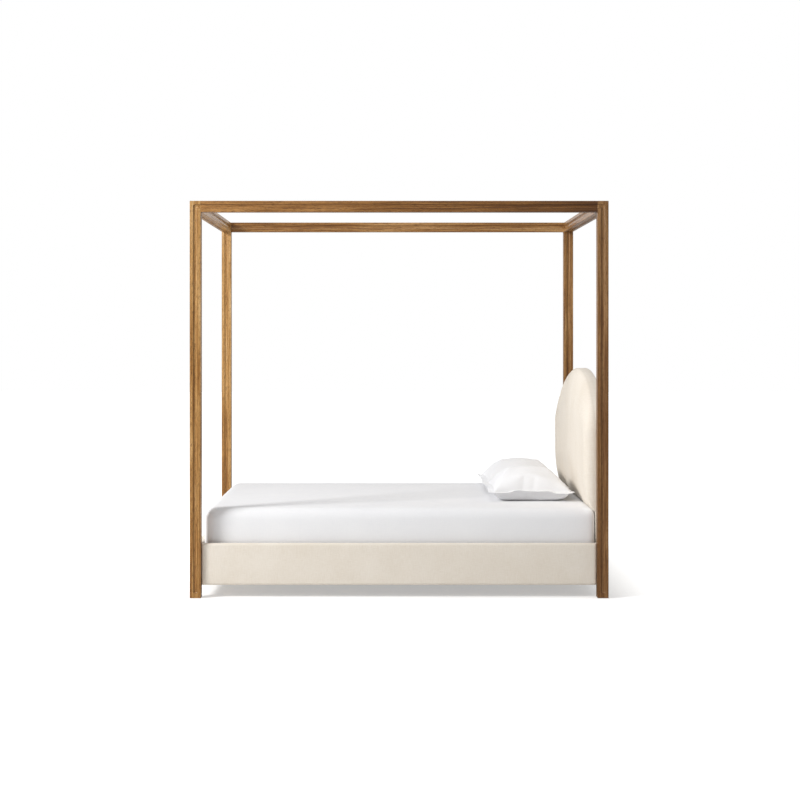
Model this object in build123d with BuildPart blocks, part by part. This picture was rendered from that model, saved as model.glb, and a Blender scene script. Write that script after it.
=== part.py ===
"""Four poster canopy bed for a 60 x 80 inch mattress.

Square fluted posts carry a fluted canopy frame and an upholstered bed rail.
An arched, crowned headboard stands between the two head posts.

Frame: millimetres, +Z up, the origin on the floor under the middle of the bed,
+X towards the headboard, -Y towards the left side of someone lying on their back.
"""
import os
from math import sqrt

from build123d import *

# ---------------------------------------------------------------- whole bed
LENGTH = 2156.0          # over the posts, foot to head
WIDTH = 1670.0           # over the posts, side to side
HEIGHT = 2046.0          # floor to the top of the canopy
POST = 57.0              # square section of posts and canopy rails
EDGE_BREAK = 2.0         # rounding along every timber edge
CLEAR_X = LENGTH - 2 * POST
CLEAR_Y = WIDTH - 2 * POST
POST_X = (LENGTH - POST) / 2
POST_Y = (WIDTH - POST) / 2
CANOPY_Z = HEIGHT - POST / 2

# ------------------------------------------- flutes, cut by a round-nosed tool
FLUTE_WIDTH = 23.0
FLUTE_DEPTH = 5.5
FLUTE_FOOT = 24.0        # where a flute's round end stops above the floor
CUTTER = (FLUTE_WIDTH ** 2 / 4 + FLUTE_DEPTH ** 2) / (2 * FLUTE_DEPTH)
CUTTER_OUT = POST / 2 - FLUTE_DEPTH + CUTTER   # post centre to tool centre

# ------------------------------------------------------------- post glides
GLIDE_R = 14.0
GLIDE_THICK = 5.0
GLIDE_PROUD = 1.5

# ------------------------------------------------------- canopy corner joints
CAM_R = 7.5
CAM_HEIGHT = 16.0
CAM_FROM_END = 34.0
CAM_Z = 14.0             # bolt above the rail's centre line
CAM_BOLT_R = 4.0
CAM_BOLT_IN_POST = 15.0
CAM_SLOT = 2.0
CANOPY_DOWEL_R = 6.0
CANOPY_DOWEL_Z = -10.0
DOWEL_DEPTH = 20.0       # in each of the two pieces that a dowel joins

# ---------------------------------------------------- upholstered bed rails
RAIL_BOTTOM = 65.0
RAIL_TOP = 280.0
RAIL_THICK = 37.0        # over the padding; the inside is flush with the posts
RAIL_BOARD = 19.0
RAIL_BACK = 2.0          # cloth turned over onto the inside
RAIL_PAD = RAIL_THICK - RAIL_BOARD - RAIL_BACK
RAIL_ROUND = 13.0
BOARD_SKIN = 3.0         # padding above and below the board
RETURN_TOP = 30.0
RETURN_BOTTOM = 22.0
RAIL_MID = RAIL_BACK + RAIL_BOARD / 2          # board centre, from the inside
SIDE_BOLT_Z = (110.0, 240.0)
END_BOLT_Z = (135.0, 215.0)
SIDE_DOWEL_Z = 175.0
END_DOWEL_Z = 192.0
RAIL_DOWEL_R = 5.0

# ------------------------------------------------------------- bed bolts
BOLT_R = 4.0
BOLT_BORE_R = 4.4
BOLT_IN_POST = 30.0
POCKET_R = 16.0
POCKET_CENTRE = 36.0     # from the end of a rail board
BOLT_PAST_CENTRE = 4.0   # how far the bolt's end stands past the pocket's centre
NUT_ACROSS = 13.0
NUT_THICK = 6.5
WASHER_THICK = 7.0
WASHER_HIGH = 16.0

# -------------------------------------------------------------- headboard
HEAD_WIDTH = 1550.0
HEAD_BOTTOM = 284.0
SHOULDER = 840.0         # where the straight sides turn into the arch
ARCH_RISE = 329.0
HEAD_FRONT = LENGTH / 2 - POST                 # edge of the upholstered front
HEAD_BACK = 1070.0
CROWN_DEPTH = 61.0       # how far the crown stands out over the mattress
CROWN_SIDE = 60.0        # distances over which the crown fades to the outline
CROWN_TOP = 240.0
CROWN_LOW = 90.0
CROWN_FOOT = 462.0       # just above the mattress
CROWN_FADES = (1.0, 0.92, 0.7, 0.4, 0.0)
RIM = 12.0               # padding wrapped round the edge of the headboard
BACK_EDGE = 9.0
PANEL_THICK = 12.0
PANEL_FRONT = 1036.0
FRAME_FRONT = PANEL_FRONT + PANEL_THICK
FRAME_MID = (FRAME_FRONT + HEAD_BACK) / 2
STILE_WIDTH = 70.0
TOP_BOARD_FOOT = 780.0
FRAME_RAIL_HIGH = 70.0
MID_RAIL_Z = 560.0
COVER_THICK = 2.0
HEAD_BOLT_Z = (420.0, 700.0)
HEAD_POCKET = 50.0       # pocket centre in a stile, from the post's face

# -------------------------------------------------------------- slat base
DECK = 174.0             # top of the slats
SLAT_WIDE, SLAT_LONG, SLAT_THICK = 70.0, 1540.0, 20.0
SLAT_COUNT = 12
SLAT_PITCH = 172.0
SLAT_ROUND = 3.0
SLAT_BOTTOM = DECK - SLAT_THICK
LEDGE_LONG, LEDGE_WIDE, LEDGE_HIGH = 1960.0, 38.0, 30.0
LEDGE_FACE = CLEAR_Y / 2 + RAIL_BACK           # inside face of the rail board
SCREW_COUNT = 5
SCREW_PITCH = 400.0
SCREW_LENGTH = 50.0
SCREW_R = 2.5
SCREW_HEAD_R = 5.0
SCREW_HEAD = 4.0
STRAP_WIDE, STRAP_THICK = 25.0, 1.2
STRAP_Y = 480.0
BEAM_WIDE, BEAM_HIGH = 40.0, 60.0
BEAM_BOTTOM = SLAT_BOTTOM - BEAM_HIGH
HANGER_SHEET = 3.0
HANGER_TONGUE = 50.0
HANGER_WIDE, HANGER_HIGH = 90.0, 62.0
BEAM_END = CLEAR_X / 2 + RAIL_BACK - HANGER_SHEET
LEG = 40.0
LEG_X = {"foot": -600.0, "middle": 0.0, "head": 600.0}
LEG_BOTTOM = 26.0
TEE_FLANGE_R, TEE_FLANGE = 10.0, 2.0
TEE_BARREL_R, TEE_BARREL = 5.5, 12.0
STEM_R = 4.0
STEM_BORE_R = 4.25
STEM_TOP = 50.0
STEM_BORE_TOP = 66.0
PAD_R, PAD_NECK_R = 19.0, 10.0
PAD_THICK, PAD_SKIRT = 10.0, 5.0

# ----------------------------------------------------- mattress and bedding
BED_LONG, BED_WIDE, BED_THICK = 2032.0, 1524.0, 280.0
BED_CORNER = 75.0
BED_TOP_EDGE, BED_BOTTOM_EDGE = 58.0, 30.0
SHEET = 1.5
SHEET_HEM = 120.0        # how far the sheet turns in under the mattress
SHEET_TOP = DECK + BED_THICK + SHEET
PILLOW_LONG, PILLOW_WIDE = 580.0, 472.0
PILLOW_X = 720.0
PILLOW_Y = {"left": -150.0, "right": 450.0}
PILLOW_GAP = 0.3
PILLOW_SEAM_Z = 510.0
PILLOW_UP = 118.0
PILLOW_DOWN = PILLOW_SEAM_Z - SHEET_TOP - PILLOW_GAP
PILLOW_CORNER = 0.14     # corner radius, as a share of the width
CORNER_CUTS = (0.586, 0.216)                   # two cuts that follow a corner's circle
PILLOW_TOP_SHARES = (1.0, 0.95, 0.85, 0.68, 0.45, 0.15)
PILLOW_LOW_SHARES = (1.0, 0.92, 0.78, 0.6)
PILLOW_BULGE = 2.2       # roundness of the crown, 2 being an ellipse squared off
FLANGE = 30.0
FLANGE_THICK = 3.0
FLANGE_CORNER = 10.0
SHAM = 3.0

FASTENER_SIDES = 8       # small bars and their holes in other fittings have this many flats

SIDES = {"left": -1, "right": 1}
ENDS = {"foot": -1, "head": 1}
UP = Vector(0, 0, 1)
FROM_BASE = (Align.CENTER, Align.CENTER, Align.MIN)


def save(part, label):
    """Name a finished piece and write it out"""
    part.label = label
    export_step(part, f"parts/{label}.step")


def bore(start, direction, length, radius):
    """Drill a round hole from a point along a direction"""
    with Locations(Plane(origin=start, z_dir=direction)):
        Cylinder(radius, length, align=FROM_BASE, mode=Mode.SUBTRACT)


def rod(start, direction, length, radius):
    """A plain bar from a point along a direction, its corners on the circle it stands for"""
    with BuildSketch(Plane(origin=start, z_dir=direction)) as section:
        RegularPolygon(radius, FASTENER_SIDES)
    extrude(section.sketch, amount=length)


def eye(start, direction, length, radius):
    """A hole through a small fitting, its flats just outside the bar that runs through it"""
    with BuildSketch(Plane(origin=start, z_dir=direction)) as section:
        RegularPolygon(radius, FASTENER_SIDES, major_radius=False)
    extrude(section.sketch, amount=length, mode=Mode.SUBTRACT)


def flute(points, round_at):
    """Run the round-nosed cutter along straight legs; it hollows out where it stops or turns"""
    for start, end in zip(points, points[1:]):
        leg = Vector(end) - Vector(start)
        bore(start, leg, leg.length, CUTTER)
    with Locations(*[points[stop] for stop in round_at]):
        Sphere(CUTTER, mode=Mode.SUBTRACT)


# ------------------------------------- where the pieces meet, corner by corner
def corner_frames(board_depth, side_heights, end_heights):
    """Points where side and end rails meet the posts' inner faces, with the way into the post

    board_depth is measured outwards from the posts' inner faces.
    """
    for end in ENDS.values():
        for side in SIDES.values():
            for z in side_heights:
                yield Vector(end * CLEAR_X / 2, side * (CLEAR_Y / 2 + board_depth), z), Vector(end, 0, 0)
            for z in end_heights:
                yield Vector(end * (CLEAR_X / 2 + board_depth), side * CLEAR_Y / 2, z), Vector(0, side, 0)


CAM_FRAMES = list(corner_frames(POST / 2, [CANOPY_Z + CAM_Z], [CANOPY_Z + CAM_Z]))
CANOPY_DOWELS = list(corner_frames(POST / 2, [CANOPY_Z + CANOPY_DOWEL_Z], [CANOPY_Z + CANOPY_DOWEL_Z]))
RAIL_DOWELS = list(corner_frames(RAIL_MID, [SIDE_DOWEL_Z], [END_DOWEL_Z]))
RAIL_BOLTS = list(corner_frames(RAIL_MID, SIDE_BOLT_Z, END_BOLT_Z))
HEAD_BOLTS = [
    (Vector(FRAME_MID, side * CLEAR_Y / 2, z), Vector(0, side, 0))
    for side in SIDES.values() for z in HEAD_BOLT_Z
]
# every bed bolt with the distance from the post's face to its pocket's centre
BED_BOLTS = [(*frame, POCKET_CENTRE) for frame in RAIL_BOLTS]
BED_BOLTS += [(*frame, HEAD_POCKET) for frame in HEAD_BOLTS]


# ------------------------------------------------------------------- timber
def make_post(end):
    """The left post of one end; its flutes turn the top corners into the canopy rails"""
    x, y = end * POST_X, -POST_Y
    flute_foot = FLUTE_FOOT + FLUTE_WIDTH / 2
    flute_head = HEIGHT - POST
    edge_x, edge_y = x - end * POST / 2, y + POST / 2
    outer_x, outer_y = x + end * CUTTER_OUT, y - CUTTER_OUT
    inner_x, inner_y = x - end * CUTTER_OUT, y + CUTTER_OUT
    top = CANOPY_Z + CUTTER_OUT
    holes = [(*frame, CAM_BOLT_IN_POST, CAM_BOLT_R) for frame in CAM_FRAMES]
    holes += [(*frame, DOWEL_DEPTH, CANOPY_DOWEL_R) for frame in CANOPY_DOWELS]
    holes += [(*frame, DOWEL_DEPTH, RAIL_DOWEL_R) for frame in RAIL_DOWELS]
    holes += [(*frame, BOLT_IN_POST, BOLT_R) for frame in RAIL_BOLTS + HEAD_BOLTS]
    with BuildPart() as post:
        with BuildSketch(Plane.XY.offset(GLIDE_PROUD)):
            with Locations((x, y)):
                RectangleRounded(POST, POST, EDGE_BREAK)
        extrude(amount=HEIGHT - GLIDE_PROUD)
        chamfer(post.faces().filter_by(Axis.Z).edges(), EDGE_BREAK / 2)
        # outer faces: up the post and round into the rail beside it
        flute([(x, outer_y, flute_foot), (x, outer_y, CANOPY_Z), (edge_x, outer_y, CANOPY_Z)], (0, 1))
        flute([(outer_x, y, flute_foot), (outer_x, y, CANOPY_Z), (outer_x, edge_y, CANOPY_Z)], (0, 1))
        # top: from one rail round to the other
        flute([(edge_x, y, top), (x, y, top), (x, edge_y, top)], (1,))
        # inner faces: up behind the ends of the canopy rails
        flute([(inner_x, y, flute_foot), (inner_x, y, flute_head)], (0, 1))
        flute([(x, inner_y, flute_foot), (x, inner_y, flute_head)], (0, 1))
        bore((x, y, GLIDE_PROUD), UP, GLIDE_THICK - GLIDE_PROUD, GLIDE_R)
        for start, direction, depth, radius in holes:
            if abs(start.X - x) < POST and abs(start.Y - y) < POST:
                bore(start, direction, depth, radius)
    return post.part


def make_canopy_rail(length):
    """A canopy rail along X about the origin, fluted on all four faces"""
    with BuildPart() as rail:
        with BuildSketch(Plane.YZ.offset(-length / 2)):
            RectangleRounded(POST, POST, EDGE_BREAK)
            with PolarLocations(CUTTER_OUT, 4):
                Circle(CUTTER, mode=Mode.SUBTRACT)
        extrude(amount=length)
        for end in ENDS.values():
            face = end * length / 2
            inward = (-end, 0, 0)
            bore((face - end * CAM_FROM_END, 0, CAM_Z - CAM_HEIGHT / 2), UP, POST, CAM_R)
            bore((face, 0, CAM_Z), inward, CAM_FROM_END, CAM_BOLT_R)
            bore((face, 0, CANOPY_DOWEL_Z), inward, DOWEL_DEPTH, CANOPY_DOWEL_R)
    return rail.part


def make_rail_board(length, bolt_heights, dowel_height):
    """The board inside a bed rail, drilled for its bolts; +Y is the inside of the bed"""
    middle = RAIL_PAD + RAIL_BOARD / 2
    with BuildPart() as board:
        with BuildSketch(Plane.XY.offset(RAIL_BOTTOM + BOARD_SKIN)):
            with Locations((0, middle)):
                Rectangle(length, RAIL_BOARD)
        extrude(amount=RAIL_TOP - RAIL_BOTTOM - 2 * BOARD_SKIN)
        for end in ENDS.values():
            face = end * length / 2
            inward = (-end, 0, 0)
            for z in bolt_heights:
                bore((face - end * POCKET_CENTRE, RAIL_PAD, z), (0, 1, 0), RAIL_BOARD, POCKET_R)
                bore((face, middle, z), inward, POCKET_CENTRE, BOLT_BORE_R)
            bore((face, middle, dowel_height), inward, DOWEL_DEPTH, RAIL_DOWEL_R)
    return board.part


def make_rail_cover(length):
    """Padding and cloth round a bed rail's board, turned in over its inside face"""
    with BuildPart() as cover:
        with BuildSketch(Plane.XY.offset(RAIL_BOTTOM)):
            Rectangle(length, RAIL_THICK, align=(Align.CENTER, Align.MIN))
        extrude(amount=RAIL_TOP - RAIL_BOTTOM)
        fillet(cover.faces().sort_by(Axis.Y)[0].edges(), RAIL_ROUND)
        with BuildSketch(Plane.XY.offset(RAIL_BOTTOM + BOARD_SKIN)):
            with Locations((0, RAIL_PAD)):
                Rectangle(length, RAIL_BOARD, align=(Align.CENTER, Align.MIN))
        extrude(amount=RAIL_TOP - RAIL_BOTTOM - 2 * BOARD_SKIN, mode=Mode.SUBTRACT)
        with BuildSketch(Plane.XY.offset(RAIL_BOTTOM + RETURN_BOTTOM)):
            with Locations((0, RAIL_PAD)):
                Rectangle(length, RAIL_THICK, align=(Align.CENTER, Align.MIN))
        extrude(amount=RAIL_TOP - RAIL_BOTTOM - RETURN_BOTTOM - RETURN_TOP, mode=Mode.SUBTRACT)
    return cover.part


# ---------------------------------------------------------------- headboard
def arch(x, side=0.0, top=0.0, bottom=HEAD_BOTTOM):
    """The headboard's outline at one depth, drawn in at the sides and the top"""
    half = HEAD_WIDTH / 2 - side
    with BuildSketch(Plane.YZ.offset(x)) as outline:
        with BuildLine():
            Polyline((half, SHOULDER), (half, bottom), (-half, bottom), (-half, SHOULDER))
            EllipticalCenterArc((0, SHOULDER), half, ARCH_RISE - top, arc_size=180)
        make_face()
    return outline.sketch


def crown_section(fade):
    """A slice of the crown: fade is 1 at the headboard's edge and 0 at its front"""
    x = HEAD_FRONT - CROWN_DEPTH * sqrt(1 - fade ** 2)
    drawn_in = 1 - fade
    return arch(x, CROWN_SIDE * drawn_in, CROWN_TOP * drawn_in, CROWN_FOOT + CROWN_LOW * drawn_in)


def make_headboard_cushion():
    """Crowned front, thin tail behind the mattress, and a rim round the panel and frame"""
    with BuildPart() as cushion:
        extrude(arch(HEAD_FRONT), amount=HEAD_BACK - HEAD_FRONT)
        fillet(cushion.faces().sort_by(Axis.X)[-1].edges(), BACK_EDGE)
        loft(sections=[crown_section(fade) for fade in CROWN_FADES])
        hollow = arch(PANEL_FRONT, RIM, RIM, HEAD_BOTTOM + RIM)
        extrude(hollow, amount=HEAD_BACK - PANEL_FRONT, mode=Mode.SUBTRACT)
        for start, direction in HEAD_BOLTS:
            bore(start, -direction, STILE_WIDTH / 2, BOLT_BORE_R)
    return cushion.part


def make_arch_board(front, thick, inset, foot):
    """A flat board cut to the headboard's arch"""
    with BuildPart() as board:
        extrude(arch(front, inset, inset, foot), amount=thick)
    return board.part


def make_stiles():
    """The uprights of the headboard frame, with pockets for the bolts into the posts"""
    spread = HEAD_WIDTH - 2 * RIM - STILE_WIDTH
    with BuildPart() as stiles:
        with BuildSketch(Plane.XY.offset(HEAD_BOTTOM + RIM)):
            with Locations((FRAME_MID, -spread / 2), (FRAME_MID, spread / 2)):
                Rectangle(HEAD_BACK - FRAME_FRONT, STILE_WIDTH)
        extrude(amount=TOP_BOARD_FOOT - HEAD_BOTTOM - RIM)
        for start, direction in HEAD_BOLTS:
            pocket = start - direction * HEAD_POCKET
            bore((FRAME_FRONT, pocket.Y, pocket.Z), (1, 0, 0), HEAD_BACK - FRAME_FRONT, POCKET_R)
            bore(start, -direction, HEAD_POCKET, BOLT_BORE_R)
    return stiles.part


def make_frame_rails():
    """The lower and middle rails of the headboard frame, between the stiles"""
    with BuildPart() as rails:
        for foot in (HEAD_BOTTOM + RIM, MID_RAIL_Z):
            with BuildSketch(Plane.XY.offset(foot)):
                with Locations((FRAME_MID, 0)):
                    Rectangle(HEAD_BACK - FRAME_FRONT, HEAD_WIDTH - 2 * (RIM + STILE_WIDTH))
            extrude(amount=FRAME_RAIL_HIGH)
    return rails.part


# ----------------------------------------------------------------- hardware
def make_cam():
    """A round cam lock about the bolt's axis, slotted across for a screwdriver"""
    with BuildPart() as cam:
        with BuildSketch(Plane.XY.offset(-CAM_HEIGHT / 2)):
            RegularPolygon(CAM_R, 2 * FASTENER_SIDES)
        extrude(amount=CAM_HEIGHT)
        eye((0, 0, 0), (1, 0, 0), CAM_R, CAM_BOLT_R)
        with BuildSketch(Plane.XY.offset(CAM_HEIGHT / 2 - CAM_SLOT)):
            Rectangle(2 * CAM_R, CAM_SLOT)
        extrude(amount=CAM_SLOT, mode=Mode.SUBTRACT)
    return cam.part


def make_washer():
    """A half-moon washer: round to fit the pocket's wall, flat under the nut; +X is the post"""
    flat = POCKET_R - WASHER_THICK
    with BuildPart() as washer:
        with BuildSketch(Plane.XY.offset(-WASHER_HIGH / 2)):
            Circle(POCKET_R)
            with Locations((flat, 0)):
                Rectangle(2 * POCKET_R, 2 * POCKET_R, align=(Align.MAX, Align.CENTER), mode=Mode.SUBTRACT)
        extrude(amount=WASHER_HIGH)
        eye((0, 0, 0), (1, 0, 0), POCKET_R, BOLT_R)
    return washer.part


def make_nut():
    """A hexagon nut against the washer's flat, in the washer's frame"""
    with BuildPart() as nut:
        with BuildSketch(Plane.YZ.offset(POCKET_R - WASHER_THICK - NUT_THICK)):
            RegularPolygon(NUT_ACROSS / 2, 6, major_radius=False)
            RegularPolygon(BOLT_R, FASTENER_SIDES, major_radius=False, mode=Mode.SUBTRACT)
        extrude(amount=NUT_THICK)
    return nut.part


def make_hanger(end):
    """A steel shoe: back plate on the rail board, tongue and cheeks round the beam's end"""
    shoe_wide = BEAM_WIDE + 2 * HANGER_SHEET
    shoe_foot = BEAM_BOTTOM - HANGER_SHEET
    beside = (Align.CENTER, Align.MIN)
    with BuildPart() as hanger:
        with BuildSketch(Plane.YZ.offset(end * BEAM_END)):
            with Locations((0, shoe_foot)):
                Rectangle(HANGER_WIDE, HANGER_HIGH, align=beside)
        extrude(amount=end * HANGER_SHEET)
        with BuildSketch(Plane.YZ.offset(end * BEAM_END)):
            with Locations((0, shoe_foot)):
                Rectangle(shoe_wide, BEAM_HIGH / 2, align=beside)
            with Locations((0, BEAM_BOTTOM)):
                Rectangle(BEAM_WIDE, BEAM_HIGH, align=beside, mode=Mode.SUBTRACT)
        extrude(amount=-end * HANGER_TONGUE)
    return hanger.part


# ---------------------------------------------------------------- slat base
def make_ledge():
    """A batten along the inside of a rail board, with its screw holes; +Y is the board"""
    with BuildPart() as ledge:
        with Locations((0, 0, SLAT_BOTTOM)):
            Box(LEDGE_LONG, LEDGE_WIDE, LEDGE_HIGH, align=(Align.CENTER, Align.MAX, Align.MAX))
        with Locations(*[Plane(origin=spot, z_dir=(0, -1, 0)) for spot in ledge_screw_spots()]):
            CounterBoreHole(SCREW_R, SCREW_HEAD_R, SCREW_HEAD, depth=LEDGE_WIDE)
    return ledge.part


def ledge_screw_spots():
    """Centres of the screw heads on a ledge's open face"""
    first = -SCREW_PITCH * (SCREW_COUNT - 1) / 2
    height = SLAT_BOTTOM - LEDGE_HIGH / 2
    return [(first + n * SCREW_PITCH, -LEDGE_WIDE, height) for n in range(SCREW_COUNT)]


def make_ledge_screws():
    """The screws of one ledge, heads flush with its open face"""
    with BuildPart() as screws:
        for spot in ledge_screw_spots():
            rod(spot, (0, 1, 0), SCREW_HEAD, SCREW_HEAD_R)
            rod(spot, (0, 1, 0), SCREW_LENGTH, SCREW_R)
    return screws.part


def make_slat():
    """One slat across the bed about x = 0, its long edges rounded"""
    with BuildPart() as slat:
        with BuildSketch(Plane.XZ.offset(-SLAT_LONG / 2)):
            with Locations((0, DECK - SLAT_THICK / 2)):
                RectangleRounded(SLAT_WIDE, SLAT_THICK, SLAT_ROUND)
        extrude(amount=SLAT_LONG)
    return slat.part


def make_leg(x):
    """A centre leg under the beam, bored for its tee nut and the leveller's stem"""
    with BuildPart() as leg:
        with BuildSketch(Plane.XY.offset(LEG_BOTTOM)):
            with Locations((x, 0)):
                RectangleRounded(LEG, LEG, EDGE_BREAK)
        extrude(amount=BEAM_BOTTOM - LEG_BOTTOM)
        bore((x, 0, LEG_BOTTOM), UP, TEE_FLANGE, TEE_FLANGE_R)
        bore((x, 0, LEG_BOTTOM), UP, TEE_FLANGE + TEE_BARREL, TEE_BARREL_R)
        bore((x, 0, LEG_BOTTOM), UP, STEM_BORE_TOP - LEG_BOTTOM, STEM_BORE_R)
    return leg.part


def make_leveller(x):
    """A screw foot turned about its stem: round pad, neck and threaded stem"""
    with BuildPart() as leveller:
        with BuildSketch(Plane.XZ) as profile:
            with BuildLine():
                Polyline(
                    (0, 0), (PAD_R, 0), (PAD_R, PAD_SKIRT), (PAD_NECK_R, PAD_THICK),
                    (STEM_R, PAD_THICK), (STEM_R, STEM_TOP), (0, STEM_TOP), close=True,
                )
            make_face()
            chamfer(profile.vertices().group_by(Axis.X)[-1], EDGE_BREAK / 2)
        revolve(axis=Axis.Z)
    return leveller.part.moved(Location((x, 0, 0)))


# ----------------------------------------------------- mattress and bedding
def make_block(grow, low, high):
    """The mattress's rounded block, grown by the thickness of what covers it"""
    with BuildPart() as block:
        with BuildSketch(Plane.XY.offset(low)):
            RectangleRounded(BED_LONG + 2 * grow, BED_WIDE + 2 * grow, BED_CORNER + grow)
        extrude(amount=high - low)
        fillet(block.faces().sort_by(Axis.Z)[-1].edges(), BED_TOP_EDGE + grow)
        chamfer(block.faces().sort_by(Axis.Z)[0].edges(), BED_BOTTOM_EDGE + grow)
    return block.part


def make_sheet(mattress):
    """A fitted sheet: over the top and sides, its elastic hem turned in underneath"""
    with BuildPart() as sheet:
        add(make_block(SHEET, DECK, SHEET_TOP))
        add(mattress, mode=Mode.SUBTRACT)
        with BuildSketch(Plane.XY.offset(DECK)):
            RectangleRounded(BED_LONG - 2 * SHEET_HEM, BED_WIDE - 2 * SHEET_HEM, BED_CORNER)
        extrude(amount=2 * SHEET, mode=Mode.SUBTRACT)
    return sheet.part


def make_pillow(y, skin):
    """A crowned pillow round its seam, smaller all over by skin"""
    full_x = PILLOW_WIDE / 2 - FLANGE - skin
    full_y = PILLOW_LONG / 2 - FLANGE - skin

    def ring(share, height):
        """One slice of the pillow: its share of the full size, at a height"""
        with BuildSketch(Plane.XY.offset(PILLOW_SEAM_Z + height)) as outline:
            with Locations((PILLOW_X, y)):
                Rectangle(2 * full_x * share, 2 * full_y * share)
            for cut in CORNER_CUTS:
                chamfer(outline.vertices(), 2 * full_x * share * PILLOW_CORNER * cut)
        return outline.sketch

    halves = ((PILLOW_UP - skin, PILLOW_TOP_SHARES), (skin - PILLOW_DOWN, PILLOW_LOW_SHARES))
    with BuildPart() as pillow:
        for height, shares in halves:
            slope = height / (1 - shares[-1] ** PILLOW_BULGE)
            rings = [ring(share, slope * (1 - share ** PILLOW_BULGE)) for share in shares]
            loft(sections=rings, ruled=True)
    return pillow.part


def make_sham(y, filling):
    """The pillow's cover: a hollow case round the filling, with a flat flange all round"""
    with BuildPart() as sham:
        add(make_pillow(y, 0))
        with BuildSketch(Plane.XY.offset(PILLOW_SEAM_Z - FLANGE_THICK / 2)):
            with Locations((PILLOW_X, y)):
                RectangleRounded(PILLOW_WIDE, PILLOW_LONG, FLANGE_CORNER)
        extrude(amount=FLANGE_THICK)
        add(filling, mode=Mode.SUBTRACT)
    return sham.part


# ------------------------------------------------------------------ the bed
os.makedirs("parts", exist_ok=True)

for end_name, end in ENDS.items():
    left_post = make_post(end)
    save(mirror(left_post, about=Plane.XZ), f"post_{end_name}_right")
    save(left_post, f"post_{end_name}_left")

with BuildPart() as post_glides:
    with BuildSketch():
        with GridLocations(2 * POST_X, 2 * POST_Y, 2, 2):
            Circle(GLIDE_R)
    extrude(amount=GLIDE_THICK)
save(post_glides.part, "post_glides")

long_canopy_rail = make_canopy_rail(CLEAR_X)
short_canopy_rail = make_canopy_rail(CLEAR_Y)
for name, side in SIDES.items():
    save(long_canopy_rail.moved(Location((0, side * POST_Y, CANOPY_Z))), f"canopy_rail_{name}")
for name, end in ENDS.items():
    place = Location((end * POST_X, 0, CANOPY_Z), (0, 0, 90))
    save(short_canopy_rail.moved(place), f"canopy_rail_{name}")

cam = make_cam()
with BuildPart() as canopy_cams:
    with Locations(*[Plane(origin=start - direction * CAM_FROM_END, x_dir=direction, z_dir=UP)
                     for start, direction in CAM_FRAMES]):
        add(cam)
save(canopy_cams.part, "canopy_cams")

with BuildPart() as canopy_cam_bolts:
    for start, direction in CAM_FRAMES:
        rod(start - direction * CAM_FROM_END, direction, CAM_FROM_END + CAM_BOLT_IN_POST, CAM_BOLT_R)
save(canopy_cam_bolts.part, "canopy_cam_bolts")

with BuildPart() as wood_dowels:
    for frames, radius in ((CANOPY_DOWELS, CANOPY_DOWEL_R), (RAIL_DOWELS, RAIL_DOWEL_R)):
        for start, direction in frames:
            rod(start - direction * DOWEL_DEPTH, direction, 2 * DOWEL_DEPTH, radius)
save(wood_dowels.part, "wood_dowels")

# bed rails: each stands outside the posts' inner faces, its +Y turned to the inside
rail_x, rail_y = CLEAR_X / 2 + RAIL_THICK, CLEAR_Y / 2 + RAIL_THICK
side_board = make_rail_board(CLEAR_X, SIDE_BOLT_Z, SIDE_DOWEL_Z)
end_board = make_rail_board(CLEAR_Y, END_BOLT_Z, END_DOWEL_Z)
side_cover = make_rail_cover(CLEAR_X)
end_cover = make_rail_cover(CLEAR_Y)
for name, side in SIDES.items():
    place = Plane(origin=(0, side * rail_y, 0), x_dir=(-side, 0, 0), z_dir=UP).location
    with BuildPart() as drilled_board:
        add(side_board.moved(place))
        for x, y, z in ledge_screw_spots():
            bore((x, side * LEDGE_FACE, z), (0, side, 0), SCREW_LENGTH - LEDGE_WIDE, SCREW_R)
    save(drilled_board.part, f"side_rail_board_{name}")
    save(side_cover.moved(place), f"side_rail_cover_{name}")
for name, end in ENDS.items():
    place = Plane(origin=(end * rail_x, 0, 0), x_dir=(0, end, 0), z_dir=UP).location
    save(end_board.moved(place), f"{name}_rail_board")
    save(end_cover.moved(place), f"{name}_rail_cover")

pocket_planes = [
    Plane(origin=start - direction * pocket, x_dir=direction, z_dir=direction.cross(UP))
    for start, direction, pocket in BED_BOLTS
]
for name, fitting in (("bed_bolt_washers", make_washer()), ("bed_bolt_nuts", make_nut())):
    with BuildPart() as fittings:
        with Locations(*pocket_planes):
            add(fitting)
    save(fittings.part, name)
with BuildPart() as bed_bolts:
    for start, direction, pocket in BED_BOLTS:
        reach = pocket + BOLT_PAST_CENTRE
        rod(start - direction * reach, direction, reach + BOLT_IN_POST, BOLT_R)
save(bed_bolts.part, "bed_bolts")

save(make_headboard_cushion(), "headboard_cushion")
save(make_arch_board(PANEL_FRONT, PANEL_THICK, RIM, HEAD_BOTTOM + RIM), "headboard_panel")
save(make_arch_board(FRAME_FRONT, HEAD_BACK - FRAME_FRONT, RIM, TOP_BOARD_FOOT), "headboard_top_board")
save(make_arch_board(HEAD_BACK, COVER_THICK, BACK_EDGE, HEAD_BOTTOM + BACK_EDGE), "headboard_back_cover")
save(make_frame_rails(), "headboard_cross_rails")
save(make_stiles(), "headboard_stiles")

ledge_places = [
    Plane(origin=(0, side * LEDGE_FACE, 0), x_dir=(side, 0, 0), z_dir=UP).location
    for side in SIDES.values()
]
for name, piece in (("slat_ledges", make_ledge()), ("ledge_screws", make_ledge_screws())):
    with BuildPart() as pair:
        for place in ledge_places:
            add(piece.moved(place))
    save(pair.part, name)

with BuildPart() as centre_beam:
    with BuildSketch(Plane.YZ.offset(-BEAM_END)):
        with Locations((0, BEAM_BOTTOM + BEAM_HIGH / 2)):
            RectangleRounded(BEAM_WIDE, BEAM_HIGH, EDGE_BREAK)
    extrude(amount=2 * BEAM_END)
save(centre_beam.part, "centre_beam")

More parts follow.
